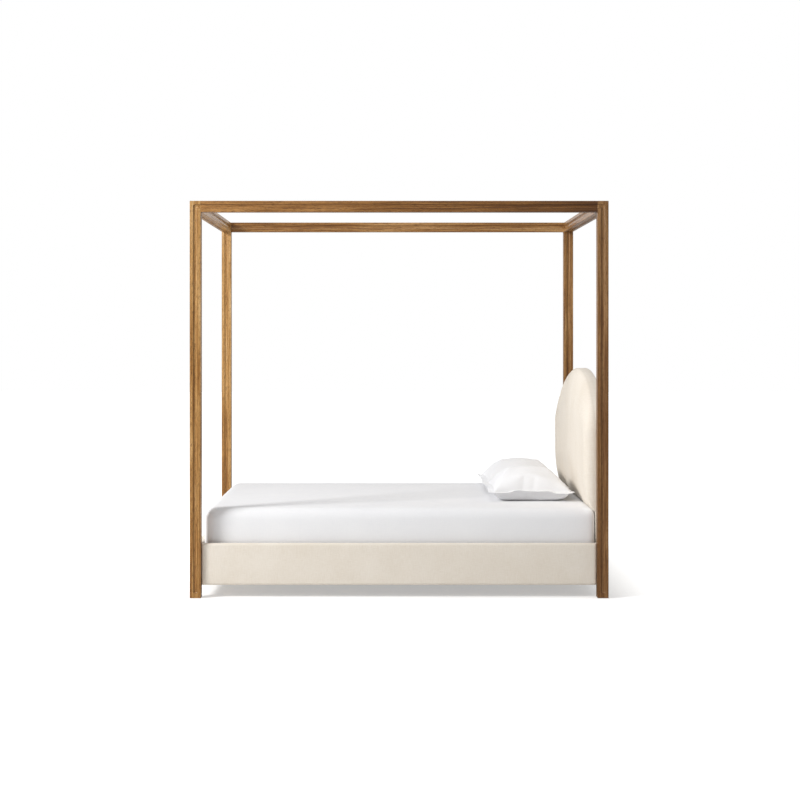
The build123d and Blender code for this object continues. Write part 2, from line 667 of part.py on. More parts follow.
with BuildPart() as beam_hangers:
    for end in ENDS.values():
        add(make_hanger(end))
save(beam_hangers.part, "beam_hangers")

slat = make_slat()
slat_span = SLAT_PITCH * (SLAT_COUNT - 1)
for number in range(SLAT_COUNT):
    place = Location((number * SLAT_PITCH - slat_span / 2, 0, 0))
    save(slat.moved(place), f"slat_{number + 1:02d}")

with BuildPart() as slat_straps:
    with Locations((0, -STRAP_Y, SLAT_BOTTOM), (0, STRAP_Y, SLAT_BOTTOM)):
        Box(slat_span + SLAT_WIDE, STRAP_WIDE, STRAP_THICK, align=(Align.CENTER, Align.CENTER, Align.MAX))
save(slat_straps.part, "slat_straps")

for name, x in LEG_X.items():
    save(make_leg(x), f"centre_leg_{name}")
    save(make_leveller(x), f"leveller_{name}")
with BuildPart() as leg_tee_nuts:
    for x in LEG_X.values():
        rod((x, 0, LEG_BOTTOM), UP, TEE_FLANGE, TEE_FLANGE_R)
        rod((x, 0, LEG_BOTTOM), UP, TEE_FLANGE + TEE_BARREL, TEE_BARREL_R)
        eye((x, 0, LEG_BOTTOM), UP, TEE_FLANGE + TEE_BARREL, STEM_BORE_R)
save(leg_tee_nuts.part, "leg_tee_nuts")

mattress = make_block(0, DECK + SHEET, DECK + BED_THICK)
save(make_sheet(mattress), "fitted_sheet")
save(mattress, "mattress")
for name, y in PILLOW_Y.items():
    filling = make_pillow(y, SHAM)
    save(make_sham(y, filling), f"pillow_sham_{name}")
    save(filling, f"pillow_filling_{name}")
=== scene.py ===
"""Looks of the four poster canopy bed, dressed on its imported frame.

Metres, +Z up, +X towards the headboard, -Y the left side of someone lying on their back.
"""
import math

import bmesh
import bpy
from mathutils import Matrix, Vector, noise


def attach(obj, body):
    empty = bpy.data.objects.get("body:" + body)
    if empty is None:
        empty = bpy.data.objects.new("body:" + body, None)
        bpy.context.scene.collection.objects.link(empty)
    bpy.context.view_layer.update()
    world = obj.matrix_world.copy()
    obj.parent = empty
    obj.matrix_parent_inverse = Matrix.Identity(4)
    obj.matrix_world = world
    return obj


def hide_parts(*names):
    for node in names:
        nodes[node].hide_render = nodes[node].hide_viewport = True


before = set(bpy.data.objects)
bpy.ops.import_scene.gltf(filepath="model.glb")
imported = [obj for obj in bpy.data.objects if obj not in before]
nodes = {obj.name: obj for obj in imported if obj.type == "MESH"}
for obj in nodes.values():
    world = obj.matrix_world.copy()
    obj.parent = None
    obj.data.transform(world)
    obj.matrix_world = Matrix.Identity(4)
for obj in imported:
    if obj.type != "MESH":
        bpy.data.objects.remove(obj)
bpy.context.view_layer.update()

MM = 0.001
X, Y, Z = 0, 1, 2

# ------------------------------------------------------------ sizes, in metres
POST_MIDDLE = 1.0                              # height at which a post has its plain tone; painted light makes it paler above and darker below

RAIL_LENGTH = {"side": 2.042, "end": 1.556}
RAIL_FACE = {"side": 0.815, "end": 1.058}      # outer face, from the bed's middle
RAIL_THICK = 0.037
RAIL_LOW, RAIL_HIGH = 0.065, 0.280
RAIL_ROUND = 0.013
BOARD_FACE = 0.0158                            # how deep in the padding the rail's board starts
WRAP, WRAP_BEHIND = 0.0028, 0.0016             # linen and batting over the board's edges and behind it
TUCK_LOW, TUCK_HIGH = 0.022, 0.030             # how far they are turned in behind it
RAIL_BULGE, BULGE_REACH = 0.0022, 0.12
RAIL_SOFT = 0.016                              # depth to which the padding's ripples reach
RAIL_RIPPLES = ((0.0011, 0.16, 4), (0.0005, 0.05, 9))      # height, size and seed of each
RAIL_RING_STEP = 0.045

HEAD_HALF = 0.775
HEAD_FOOT, SHOULDER, ARCH_RISE = 0.284, 0.840, 0.329
HEAD_FRONT, HEAD_BACK = 1.021, 1.070
HEAD_MIDDLE = 0.74
CROWN_DEPTH, CROWN_SIDE, CROWN_TOP = 0.061, 0.060, 0.240
CROWN_FOOT, CROWN_LOW = 0.438, 0.280
RIM, BACK_EDGE, PANEL_FRONT = 0.012, 0.009, 1.036
TAIL = 0.020                                   # flat linen before the crown starts
CROWN_RIPPLES = ((0.0012, 0.22, 3), (0.0006, 0.07, 5))
LINING_MARGIN, LINING_THICK = 0.001, 0.0008
LINING_MIDDLE = 0.70
LINING_RIPPLES = ((0.0005, 0.16, 2),)
# the lining's turned hem: how far in from its edge each fold lies, and how far off the frame
LINING_HEM = ((0.0005, 0.0012), (0.003, 0.0019), (0.014, 0.0019), (0.0165, 0.0008), (0.03, 0.0008))

DECK = 0.174
BED_HALF_X, BED_HALF_Y, BED_THICK = 1.016, 0.762, 0.280
BED_CORNER, TOP_EDGE, BOTTOM_EDGE = 0.075, 0.058, 0.030
SHEET = 0.0015
SHEET_HEM = 0.120
SHEET_TOP = DECK + BED_THICK + SHEET
CORNER_STEPS, LONG_STEPS, SHORT_STEPS = 12, 40, 30
SQUARE_CORNER, SQUARE_EDGE = 8, 4              # powers; 2 would leave a corner or an edge round

PILLOW_X = 0.720
PILLOW_Y = {"left": -0.150, "right": 0.450}
PILLOW_HALF_X, PILLOW_HALF_Y = 0.236, 0.290
PILLOW_SEAM, PILLOW_TOP, PILLOW_LOW = 0.510, 0.6275, 0.4560
PILLOW_CELLS_X, PILLOW_CELLS_Y = 48, 58        # cells of about 10 mm
FLANGE_CELLS = 3
SEAM_X = 1 - 2 * FLANGE_CELLS / PILLOW_CELLS_X     # where the seam runs, of the half width
SEAM_Y = 1 - 2 * FLANGE_CELLS / PILLOW_CELLS_Y     # and of the half length
PANEL_APART, PANEL_CRUMPLE = 0.002, 0.0008     # the panels before they are stuffed
FLANGE_FLAT = 0.0011                           # what stands lower than this is flange
SWELL_FRAMES = 24
PUFF_ACROSS, PUFF_ALONG, PUFF_ROUND = 1.8, 2.4, 0.55       # powers that shape the dome
PUFF_UNDER = 4.0                               # how soon the underside is down on the sheet
CREASES = 0.8                                  # how much of the simulated creasing is kept
CREASE_ROUNDS = 24                             # averaging that tells creases from the broad form
FLANGE_CREASES = 0.3                           # how much of it the flange keeps
FLANGE_LIFT, FLANGE_DROOP = 0.0055, 0.013      # middle of a long run, and its corners below that
FLANGE_END_WAVE = 0.004
SHAM_THICK = 0.0016
SHAM_FIT = 0.995                               # room for the percale's own thickness

STRAP_Y, STRAP_HALF, STRAP_WIDE, STRAP_THICK = 0.480, 0.981, 0.025, 0.0012
STRAP_SLACK, STRAP_EASE = 0.0025, 0.0008
STRAP_STEPS = 110
SLAT_UNDER, SLAT_PITCH, SLAT_WIDE = 0.154, 0.172, 0.070

FOOTPRINT = (1.08, 0.84, 0.0)                  # half the bed, from its middle
FLOOR_GLOW = ((0.0, 0.42), (0.06, 0.46), (0.35, 0.84))     # distance from the footprint, strength
ROOM_LIGHT, BACKDROP = 0.38, 1.0


# ------------------------------------------------------------------- shaders
def linear(code):
    """An sRGB hex colour as the linear RGBA that shaders take"""
    parts = [int(code[n:n + 2], 16) / 255 for n in (1, 3, 5)]
    return [p / 12.92 if p <= 0.04045 else ((p + 0.055) / 1.055) ** 2.4 for p in parts] + [1.0]


def grey(value):
    """A linear grey for a ramp's stop"""
    return [value, value, value, 1.0]


def new_material(name):
    """An empty node material and its tree"""
    material = bpy.data.materials.new(name)
    material.use_nodes = True
    material.node_tree.nodes.clear()
    return material, material.node_tree


def add(tree, kind, inputs=(), stops=(), **settings):
    """Add one node: its settings, its inputs as plain values or links, and a ramp's stops"""
    new = tree.nodes.new(kind)
    for name, value in settings.items():
        setattr(new, name, value)
    for socket, value in dict(inputs).items():
        if isinstance(value, bpy.types.NodeSocket):
            tree.links.new(value, new.inputs[socket])
        else:
            new.inputs[socket].default_value = value
    for n, (place, colour) in enumerate(stops):
        while len(new.color_ramp.elements) <= n:
            new.color_ramp.elements.new(1.0)
        new.color_ramp.elements[n].position = place
        new.color_ramp.elements[n].color = colour
    return new


def stretched(tree, along, wide, long, shift=(0.0, 0.0, 0.0)):
    """Object space drawn out along the grain: one unit is wide mm across it and long mm along it"""
    place = add(tree, "ShaderNodeTexCoord").outputs["Object"]
    scale = [1 / (wide * MM)] * 3
    scale[along] = 1 / (long * MM)
    return add(tree, "ShaderNodeMapping", {
        "Vector": place, "Scale": scale, "Location": shift}).outputs[0]


def oak_figure(tree, along, tone, shift, painted_light_slope):
    """Colour of the cathedral streaks that run with the stick, broad ones under narrow ones, with painted
    light that makes the stick paler towards one end
    """
    broad = add(tree, "ShaderNodeTexNoise", {
        "Vector": stretched(tree, along, 45, 700, shift), "Scale": 1.0, "Detail": 2.0})
    narrow = add(tree, "ShaderNodeTexNoise", {
        "Vector": stretched(tree, along, 7, 260, shift), "Scale": 1.0, "Detail": 5.0,
        "Roughness": 0.6, "Distortion": 0.5})
    streaks = add(tree, "ShaderNodeMix", {
        "Factor": 0.38, "A": narrow.outputs["Fac"], "B": broad.outputs["Fac"]})
    place = add(tree, "ShaderNodeTexCoord").outputs["Object"]
    run = add(tree, "ShaderNodeSeparateXYZ", {"Vector": place}).outputs[along]
    # painted light: the streaks are shifted paler along the stick, so much to the metre, as the light falls
    # on it
    from_middle = add(tree, "ShaderNodeMath", {
        0: run, 1: POST_MIDDLE if along == Z else 0.0}, operation="SUBTRACT")
    streaks_and_painted_light = add(tree, "ShaderNodeMath", {
        0: from_middle.outputs[0], 1: painted_light_slope, 2: streaks.outputs[0]}, operation="MULTIPLY_ADD")
    light, honey, brown, dark = (linear(code) for code in tone)
    return add(tree, "ShaderNodeValToRGB", {"Fac": streaks_and_painted_light.outputs[0]}, stops=[
        (0.30, dark), (0.43, brown), (0.54, honey), (0.68, light)]).outputs["Color"]


def painted_flute_shade(tree):
    """Painted shade on the flutes: none on faces square to the bed, most on steep walls and arrises"""
    facing = add(tree, "ShaderNodeNewGeometry").outputs["Normal"]
    square_on = add(tree, "ShaderNodeVectorMath", {0: facing}, operation="ABSOLUTE")
    turned = add(tree, "ShaderNodeSeparateXYZ", {"Vector": square_on.outputs[0]})
    flatter = add(tree, "ShaderNodeMath", {
        0: turned.outputs[0], 1: turned.outputs[1]}, operation="MAXIMUM")
    flattest = add(tree, "ShaderNodeMath", {
        0: flatter.outputs[0], 1: turned.outputs[2]}, operation="MAXIMUM")
    return add(tree, "ShaderNodeMapRange", {
        "Value": flattest.outputs[0], "From Min": 0.70, "From Max": 0.93, "To Min": 0.46,
        "To Max": 0.0}).outputs[0]


def oak(name, along, tone, shift, painted_light_slope):
    """White oak, planed and fluted, with a honey brown stain and sprayed with satin lacquer.

    Streaks and short open pores run with the stick; the lacquer is smooth enough to catch the
    room where the eye grazes along it. The last argument paints light: it makes the stick paler
    along its length, so much to the metre, where the light falls on it more. Steep flute walls
    and arrises carry painted shade.
    """
    material, tree = new_material(name)
    figure = oak_figure(tree, along, tone, shift, painted_light_slope)
    # open pores, drawn at 1.6 mm because a real 0.3 mm one would not show
    pores = add(tree, "ShaderNodeTexNoise", {
        "Vector": stretched(tree, along, 1.6, 26, shift), "Scale": 1.0, "Detail": 3.0,
        "Roughness": 0.7}).outputs["Fac"]
    pits = add(tree, "ShaderNodeValToRGB", {"Fac": pores}, stops=[
        (0.36, grey(0.0)), (0.47, grey(1.0))]).outputs["Color"]
    grained = add(tree, "ShaderNodeMix", {
        "Factor": pits, "A": linear(PORE_BROWN), "B": figure}, data_type="RGBA")
    # pin knots, one or two to a stick
    cells = add(tree, "ShaderNodeTexVoronoi", {
        "Vector": stretched(tree, along, 230, 560, shift), "Scale": 1.0})
    knots = add(tree, "ShaderNodeValToRGB", {"Fac": cells.outputs["Distance"]}, stops=[
        (0.012, grey(1.0)), (0.028, grey(0.0))])
    knotted = add(tree, "ShaderNodeMix", {
        "Factor": knots.outputs["Color"], "A": grained.outputs[2], "B": linear(KNOT_BROWN)},
        data_type="RGBA")
    # painted shade: steep flute walls and arrises darkened towards a deep brown
    flute_shaded = add(tree, "ShaderNodeMix", {
        "Factor": painted_flute_shade(tree), "A": knotted.outputs[2], "B": linear(FLUTE_SHADE_BROWN)},
        data_type="RGBA")
    dull = add(tree, "ShaderNodeMapRange", {
        "Value": pores, "From Min": 0.3, "From Max": 0.7, "To Min": 0.36, "To Max": 0.27})
    raised = add(tree, "ShaderNodeBump", {
        "Height": pits, "Strength": 0.25, "Distance": 0.3 * MM})
    lacquered = add(tree, "ShaderNodeBsdfPrincipled", {
        "Base Color": flute_shaded.outputs[2], "Roughness": dull.outputs[0], "IOR": 1.5,
        "Specular IOR Level": 0.3, "Normal": raised.outputs[0]})
    add(tree, "ShaderNodeOutputMaterial", {"Surface": lacquered.outputs[0]})
    return material


def plain_timber(name, light, dark, along, rough=0.6):
    """Planed softwood or birch left bare: pale, matt, with even growth lines along the stick"""
    material, tree = new_material(name)
    lines = add(tree, "ShaderNodeTexNoise", {
        "Vector": stretched(tree, along, 9, 420), "Scale": 1.0, "Detail": 5.0, "Roughness": 0.55,
        "Distortion": 0.7}).outputs["Fac"]
    colour = add(tree, "ShaderNodeValToRGB", {"Fac": lines}, stops=[
        (0.35, linear(dark)), (0.6, linear(light))])
    raised = add(tree, "ShaderNodeBump", {"Height": lines, "Strength": 0.3, "Distance": 0.4 * MM})
    bare = add(tree, "ShaderNodeBsdfPrincipled", {
        "Base Color": colour.outputs["Color"], "Roughness": rough, "IOR": 1.5,
        "Normal": raised.outputs[0]})
    add(tree, "ShaderNodeOutputMaterial", {"Surface": bare.outputs[0]})
    return material


def crossing_threads(tree, place, thread):
    """Height of threads that cross each other: those across an axis show on faces it runs along"""
    facing = add(tree, "ShaderNodeNewGeometry").outputs["Normal"]
    turned = add(tree, "ShaderNodeSeparateXYZ", {"Vector": facing})
    height = None
    for n, axis in enumerate("XYZ"):
        bands = add(tree, "ShaderNodeTexWave", {
            "Vector": place, "Scale": math.pi / (10 * thread * MM), "Distortion": 0.6,
            "Detail": 1.0, "Detail Scale": 0.4}, bands_direction=axis)
        square_on = add(tree, "ShaderNodeMath", {0: turned.outputs[n]}, operation="ABSOLUTE")
        shown = add(tree, "ShaderNodeMath", {0: 1.0, 1: square_on.outputs[0]}, operation="SUBTRACT")
        threads = add(tree, "ShaderNodeMath", {
            0: bands.outputs["Fac"], 1: shown.outputs[0]}, operation="MULTIPLY").outputs[0]
        if height is None:
            height = threads
        else:
            height = add(tree, "ShaderNodeMath", {0: height, 1: threads}, operation="ADD").outputs[0]
    return height


def cloth(name, light, dark, thread, slub, weave, sheen):
    """Woven cloth: crossing threads raised on the surface, with thicker slubs running both ways.

    thread is the spacing of the threads and slub the length of the slubs, in millimetres.
    """
    material, tree = new_material(name)
    place = add(tree, "ShaderNodeTexCoord").outputs["Object"]
    threads = crossing_threads(tree, place, thread)
    slubs = []
    for long_way, wide in (((1, 1, 0), 1.8), ((0, 0, 1), 2.4)):
        scale = [1 / (slub * MM) if along else 1 / (wide * thread * MM) for along in long_way]
        drawn_out = add(tree, "ShaderNodeMapping", {"Vector": place, "Scale": scale}).outputs[0]
        slubs.append(add(tree, "ShaderNodeTexNoise", {
            "Vector": drawn_out, "Scale": 1.0, "Detail": 3.0, "Roughness": 0.6}).outputs["Fac"])
    both = add(tree, "ShaderNodeMath", {0: slubs[0], 1: slubs[1]}, operation="ADD").outputs[0]
    clouds = add(tree, "ShaderNodeTexNoise", {"Vector": place, "Scale": 5.0, "Detail": 3.0})
    mottle = add(tree, "ShaderNodeMath", {0: both, 1: clouds.outputs["Fac"]}, operation="ADD")
    lightness = add(tree, "ShaderNodeMapRange", {
        "Value": mottle.outputs[0], "From Min": 1.15, "From Max": 1.85})
    dyed = add(tree, "ShaderNodeMix", {
        "Factor": lightness.outputs[0], "A": linear(dark), "B": linear(light)}, data_type="RGBA")
    relief = add(tree, "ShaderNodeMath", {0: both, 1: 1.5, 2: threads}, operation="MULTIPLY_ADD")
    raised = add(tree, "ShaderNodeBump", {
        "Height": relief.outputs[0], "Strength": weave, "Distance": 0.25 * thread * MM})
    woven = add(tree, "ShaderNodeBsdfPrincipled", {
        "Base Color": dyed.outputs[2], "Roughness": 0.9, "IOR": 1.5, "Specular IOR Level": 0.3,
        "Sheen Weight": sheen, "Sheen Roughness": 0.5, "Normal": raised.outputs[0]})
    add(tree, "ShaderNodeOutputMaterial", {"Surface": woven.outputs[0]})
    return material


def hard(name, colour, worn, metallic, rough, patch):
    """Plated steel or moulded nylon: an even coat with a faint blotch, patch millimetres across"""
    material, tree = new_material(name)
    place = add(tree, "ShaderNodeTexCoord").outputs["Object"]
    blotch = add(tree, "ShaderNodeTexNoise", {
        "Vector": place, "Scale": 1 / (patch * MM), "Detail": 4.0, "Roughness": 0.6}).outputs["Fac"]
    tint = add(tree, "ShaderNodeMix", {
        "Factor": blotch, "A": linear(colour), "B": linear(worn)}, data_type="RGBA")
    dull = add(tree, "ShaderNodeMapRange", {
        "Value": blotch, "To Min": rough - 0.08, "To Max": rough + 0.08})
    coat = add(tree, "ShaderNodeBsdfPrincipled", {
        "Base Color": tint.outputs[2], "Roughness": dull.outputs[0], "Metallic": metallic})
    add(tree, "ShaderNodeOutputMaterial", {"Surface": coat.outputs[0]})
    return material


# each tone from its lightest streak to its darkest
PALE = ("#E3C090", "#CA9C60", "#A5753D", "#7A4F24")
HONEY = ("#D8B07A", "#BC8E53", "#976731", "#6C431A")
FAWN = ("#C39A69", "#A47845", "#80552A", "#5D3918")
UMBER = ("#B88E60", "#997044", "#795129", "#5A3917")
RUSSET = ("#BC8A52", "#976835", "#6F461B", "#4C2B0D")
# pores and knots in their own browns; the third is the deep brown of the painted shade in the flutes
PORE_BROWN, KNOT_BROWN, FLUTE_SHADE_BROWN = "#5A3A1A", "#3A2412", "#4A2C10"
PINE = ("#DDBE8B", "#C29A62")

# each stick is cut from its own board: material, grain, tone, place in the board, painted light slope. The
# tones are partly painted light and shade: lighter for the sticks at the foot end, where the key lamp is,
# darker for those at the head end
OAKS = {
    "post_foot_left": ("oak_satin_lacquer_near_foot", Z, HONEY, (0.0, 0.0, 0.0), 0.05),
    "post_foot_right": ("oak_satin_lacquer_far_foot", Z, PALE, (3.1, 1.7, 0.4), 0.05),
    "post_head_left": ("oak_satin_lacquer_near_head", Z, UMBER, (7.3, 2.9, 1.1), 0.04),
    "post_head_right": ("oak_satin_lacquer_far_head", Z, FAWN, (9.9, 5.3, 2.2), 0.0),
    "canopy_rail_left": ("oak_satin_lacquer_near_rail", X, RUSSET, (0.3, 4.1, 6.2), -0.13),
    "canopy_rail_right": ("oak_satin_lacquer_far_rail", X, FAWN, (1.9, 8.1, 3.3), 0.05),
    "canopy_rail_foot": ("oak_satin_lacquer_foot_rail", Y, HONEY, (5.2, 0.6, 1.4), 0.0),
    "canopy_rail_head": ("oak_satin_lacquer_head_rail", Y, UMBER, (6.6, 3.5, 8.8), 0.0),
}
pine_along_x = plain_timber("pine_planed_along_x", *PINE, X)
pine_along_y = plain_timber("pine_planed_along_y", *PINE, Y)
pine_along_z = plain_timber("pine_planed_along_z", *PINE, Z)
birch = plain_timber("birch_slat_planed", "#E6CFA4", "#D3B683", Y, rough=0.5)
birch_ply = plain_timber("birch_plywood_sanded", "#D8BC8C", "#C6A673", Y)
beech = plain_timber("beech_dowel_turned", "#D9AE7C", "#C1935F", X, rough=0.5)
zinc = hard("steel_zinc_plated", "#B9BBBD", "#9FA3A8", metallic=1.0, rough=0.38, patch=6)
nylon_black = hard("nylon_black_moulded", "#1E1E1F", "#2A2A2B", metallic=0.0, rough=0.5, patch=3)
nylon_ivory = hard("nylon_ivory_moulded", "#DAD6CB", "#CFC9BC", metallic=0.0, rough=0.5, patch=3)
# a slubby flat weave; real threads of 0.7 mm are drawn at 1.5 mm so that close views show them
linen = cloth("linen_blend_flat_weave", "#F3EBDF", "#E9DFD0", thread=1.5, slub=34, weave=0.5, sheen=0.12)
# a tight smooth percale, its 0.2 mm threads drawn at 0.8 mm
percale = cloth("cotton_percale_bleached", "#F6F6F7", "#F1F1F3", thread=0.8, slub=30, weave=0.12, sheen=0.05)
# plain unbleached cottons, seen only from below and behind: their 0.4 mm threads are drawn at 1.2 mm
ticking = cloth("cotton_ticking_natural", "#E8E2D6", "#DCD4C5", thread=1.2, slub=14, weave=0.4, sheen=0.0)
lining = cloth("cotton_lining_cream", "#E4DBCB", "#D9CEBB", thread=1.2, slub=24, weave=0.35, sheen=0.0)
# a coarse tape, ribbed along and across, dark under the pale slats
webbing = cloth("polyester_webbing_charcoal", "#3A3B3D", "#2C2D2F", thread=2.0, slub=5, weave=0.8, sheen=0.1)


def paint(obj, material):
    """Give an object one material, in its own slots"""
    if not obj.data.materials:
        obj.data.materials.append(material)
    for slot in obj.material_slots:
        slot.material = material


def hidden_material(node):
    """What a hidden node is made of: None for the oak and for what a soft piece replaces"""
    if "rail_board" in node:
        return pine_along_x if node.startswith("side") else pine_along_y
    if node in ("slat_ledges", "centre_beam"):
        return pine_along_x
    if node == "headboard_cross_rails":
        return pine_along_y
    if node.startswith("centre_leg") or node in ("headboard_stiles", "headboard_top_board"):
        return pine_along_z
    if node == "headboard_panel":
        return birch_ply
    if node.startswith("slat_") and node != "slat_straps":
        return birch
    if node == "wood_dowels":
        return beech
    if node.startswith("leveller"):
        return nylon_black
    if node == "post_glides":
        return nylon_ivory
    if "bolt" in node or "cam" in node or node in ("ledge_screws", "leg_tee_nuts", "beam_hangers"):
        return zinc
    return None


for node, board in OAKS.items():
    paint(nodes[node], oak(*board))
for node, obj in nodes.items():
    material = hidden_material(node)
    if material:
        paint(obj, material)


# --------------------------------------------------------------- mesh helpers
def alone():
    """Leave edit mode with nothing selected"""
    if bpy.context.object and bpy.context.object.mode != "OBJECT":
        bpy.ops.object.mode_set(mode="OBJECT")
    bpy.ops.object.select_all(action="DESELECT")


def pick(piece):
    """Make one object the selected and active one"""
    alone()
    piece.select_set(True)
    bpy.context.view_layer.objects.active = piece


def skin(name, rings, first=True, last=True):
    """A surface through rings of points: a grid rolled into a tube, sewn up and closed at its ends.

    first and last say whether those ends are closed with a face.
    """
    alone()
    along, around = len(rings) - 1, len(rings[0])
    bpy.ops.mesh.primitive_grid_add(x_subdivisions=along, y_subdivisions=around, size=2.0)
    piece = bpy.context.object
    piece.name = piece.data.name = name
    for vert in piece.data.vertices:
        ring = rings[round((vert.co.x + 1) / 2 * along)]
        vert.co = ring[round((vert.co.y + 1) / 2 * around) % around]
    bpy.ops.object.mode_set(mode="EDIT")
    bpy.ops.mesh.select_mode(type="VERT")
    bpy.ops.mesh.select_all(action="SELECT")
    bpy.ops.mesh.remove_doubles(threshold=1e-6)
    for closed, ring in ((first, rings[0]), (last, rings[-1])):
        if closed:
            select_at(piece, ring)
            bpy.ops.mesh.edge_face_add()
    bpy.ops.mesh.select_all(action="SELECT")
    bpy.ops.mesh.normals_make_consistent(inside=False)
    bpy.ops.object.mode_set(mode="OBJECT")
    bpy.ops.object.shade_smooth()
    return piece


def select_at(piece, points):
    """In edit mode, select just the vertices that stand at these points"""
    bpy.ops.mesh.select_all(action="DESELECT")
    places = {tuple(round(c, 5) for c in point) for point in points}
    mesh = bmesh.from_edit_mesh(piece.data)
    for vert in mesh.verts:
        vert.select = tuple(round(c, 5) for c in vert.co) in places
    mesh.select_flush_mode()
    bmesh.update_edit_mesh(piece.data)


def modify(piece, kind, **settings):
    """Add one modifier to a piece and apply it"""
    pick(piece)
    modifier = piece.modifiers.new(kind.lower(), kind)
    for name, value in settings.items():
        setattr(modifier, name, value)
    bpy.ops.object.modifier_apply(modifier=modifier.name)


def ripple(point, size, seed):
    """A smooth value from -1 to 1 that changes over about size metres"""
    return noise.noise(Vector(point) / size + Vector((seed, 1.7 * seed, -seed)))


def rippled(point, ripples):
    """The height of several ripples on top of each other"""
    return sum(height * ripple(point, size, seed) for height, size, seed in ripples)


def quarter(steps):
    """The sines and cosines of a quarter turn, taken in steps"""
    angles = [math.radians(90 * n / steps) for n in range(steps + 1)]
    return [(math.sin(angle), math.cos(angle)) for angle in angles]


def finish(piece, material, body, slot, *replaced):
    """Give a finished piece its material and its body, and hide the nodes it stands for; slot is not used"""
    paint(piece, material)
    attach(piece, body)
    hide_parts(*replaced)


# ------------------------------------------------------------------ headboard
FOOT_STEPS, SIDE_STEPS, ARCH_STEPS = 44, 26, 132


def arch_ring(x, side=0.0, top=0.0, foot=HEAD_FOOT):
    """The headboard's outline at one depth, drawn in at its sides and top, from its left foot round"""
    half = HEAD_HALF - side
    rise = ARCH_RISE - top
    points = []
    for n in range(FOOT_STEPS):
        points.append(Vector((x, half * (2 * n / FOOT_STEPS - 1), foot)))
    for n in range(SIDE_STEPS):
        points.append(Vector((x, half, foot + (SHOULDER - foot) * n / SIDE_STEPS)))
    for n in range(ARCH_STEPS):
        angle = math.pi * n / ARCH_STEPS
        points.append(Vector((x, half * math.cos(angle), SHOULDER + rise * math.sin(angle))))
    for n in range(SIDE_STEPS):
        points.append(Vector((x, -half, SHOULDER - (SHOULDER - foot) * n / SIDE_STEPS)))
    return points


def inset_ring(x, inset):
    """The outline drawn in evenly all round"""
    return arch_ring(x, inset, inset, HEAD_FOOT + inset)


def shrunk(ring, centre, shares):
    """Copies of a ring shrunk towards a point, to close a flat face"""
    return [[centre + (point - centre) * share for point in ring] for share in shares]


def headboard_upholstery():
    """Foam and linen over the arch: crowned front, thin tail behind the mattress, turned round the back"""
    rings = [inset_ring(PANEL_FRONT, RIM), inset_ring(HEAD_BACK, RIM)]
    for sine, cosine in reversed(quarter(4)):
        rings.append(inset_ring(HEAD_BACK - BACK_EDGE * (1 - sine), BACK_EDGE * (1 - cosine)))
    rings.append(arch_ring(HEAD_FRONT + TAIL))
    rings.append(arch_ring(HEAD_FRONT))
    # the tail's flat face ends half a millimetre proud, and the crown starts from there
    rings.append(arch_ring(HEAD_FRONT - 0.0005, 0.0003, 0.0003, CROWN_FOOT - TAIL))
    for sine, cosine in quarter(24)[1:]:
        rings.append(arch_ring(HEAD_FRONT - CROWN_DEPTH * sine, CROWN_SIDE * (1 - cosine),
                               CROWN_TOP * (1 - cosine), CROWN_FOOT + CROWN_LOW * (1 - cosine)))
    rings += shrunk(rings[-1], Vector((HEAD_FRONT - CROWN_DEPTH, 0.0, HEAD_MIDDLE)), (
        0.95, 0.9, 0.84, 0.78, 0.7, 0.62, 0.54, 0.46, 0.38, 0.3, 0.22, 0.14, 0.07, 0.02))
    piece = skin("headboard_upholstery", rings)
    for vert in piece.data.vertices:
        if vert.co.x < HEAD_FRONT - 0.003:
            vert.co.x += rippled(vert.co, CROWN_RIPPLES)
    return piece


headboard = headboard_upholstery()
finish(headboard, linen, "bed", "oatmeal_weave", "headboard_cushion")


def headboard_back():
    """Lining stretched over the back of the frame, with its hem turned under along the edge"""
    edge = BACK_EDGE + LINING_MARGIN
    rings = [inset_ring(HEAD_BACK + 0.0003, edge)]
    for drawn, out in LINING_HEM:
        rings.append(inset_ring(HEAD_BACK + out, edge + drawn))
    rings += shrunk(rings[-1], Vector((HEAD_BACK + 0.0012, 0.0, LINING_MIDDLE)), (
        0.9, 0.8, 0.68, 0.55, 0.42, 0.28, 0.14, 0.04))
    piece = skin("headboard_back_lining", rings, first=False)
    for vert in piece.data.vertices:
        if vert.co.x < HEAD_BACK + 0.0015:
            vert.co.x += rippled(vert.co, LINING_RIPPLES)
    modify(piece, "SOLIDIFY", thickness=LINING_THICK, offset=-1.0)
    return piece


back = headboard_back()
finish(back, lining, "bed", "oatmeal_weave", "headboard_back_cover")


# ------------------------------------------------------- upholstered bed rails
def rail_profile(recede, bulge):
    """The padding's C section: (depth in from the outer face, height); recede draws the outer face in"""
    inner, low, top = RAIL_THICK, RAIL_LOW, RAIL_HIGH
    face_steps = 22
    # from the lower tuck, round the lower edge, up the face and over to the upper tuck
    points = [(inner, low + TUCK_LOW), (inner, low + 0.004), (inner - 0.0015, low + 0.001), (0.030, low)]
    points += [(RAIL_ROUND * (1 - sine), low + RAIL_ROUND * (1 - cosine)) for sine, cosine in quarter(8)]
    for n in range(1, face_steps):
        share = n / face_steps
        points.append((-bulge * math.sin(math.pi * share),
                       low + RAIL_ROUND + (top - low - 2 * RAIL_ROUND) * share))
    points += [(RAIL_ROUND * (1 - cosine), top - RAIL_ROUND * (1 - sine)) for sine, cosine in quarter(8)]
    points += [(0.030, top), (inner - 0.0015, top - 0.001), (inner, top - 0.004), (inner, top - TUCK_HIGH)]
    outside = [(recede + depth * (inner - recede) / inner, z) for depth, z in points]
    behind = inner - WRAP_BEHIND
    inside = [(behind, top - TUCK_HIGH), (behind, top - WRAP), (BOARD_FACE, top - WRAP),
              (BOARD_FACE, low + WRAP), (behind, low + WRAP), (behind, low + TUCK_LOW)]
    return outside + inside


def rail_point(kind, side, along, depth, z):
    """A point of one rail: along it from its middle, in from its outer face, up from the floor"""
    out = side * (RAIL_FACE[kind] - depth)
    return Vector((along, out, z) if kind == "side" else (out, along, z))


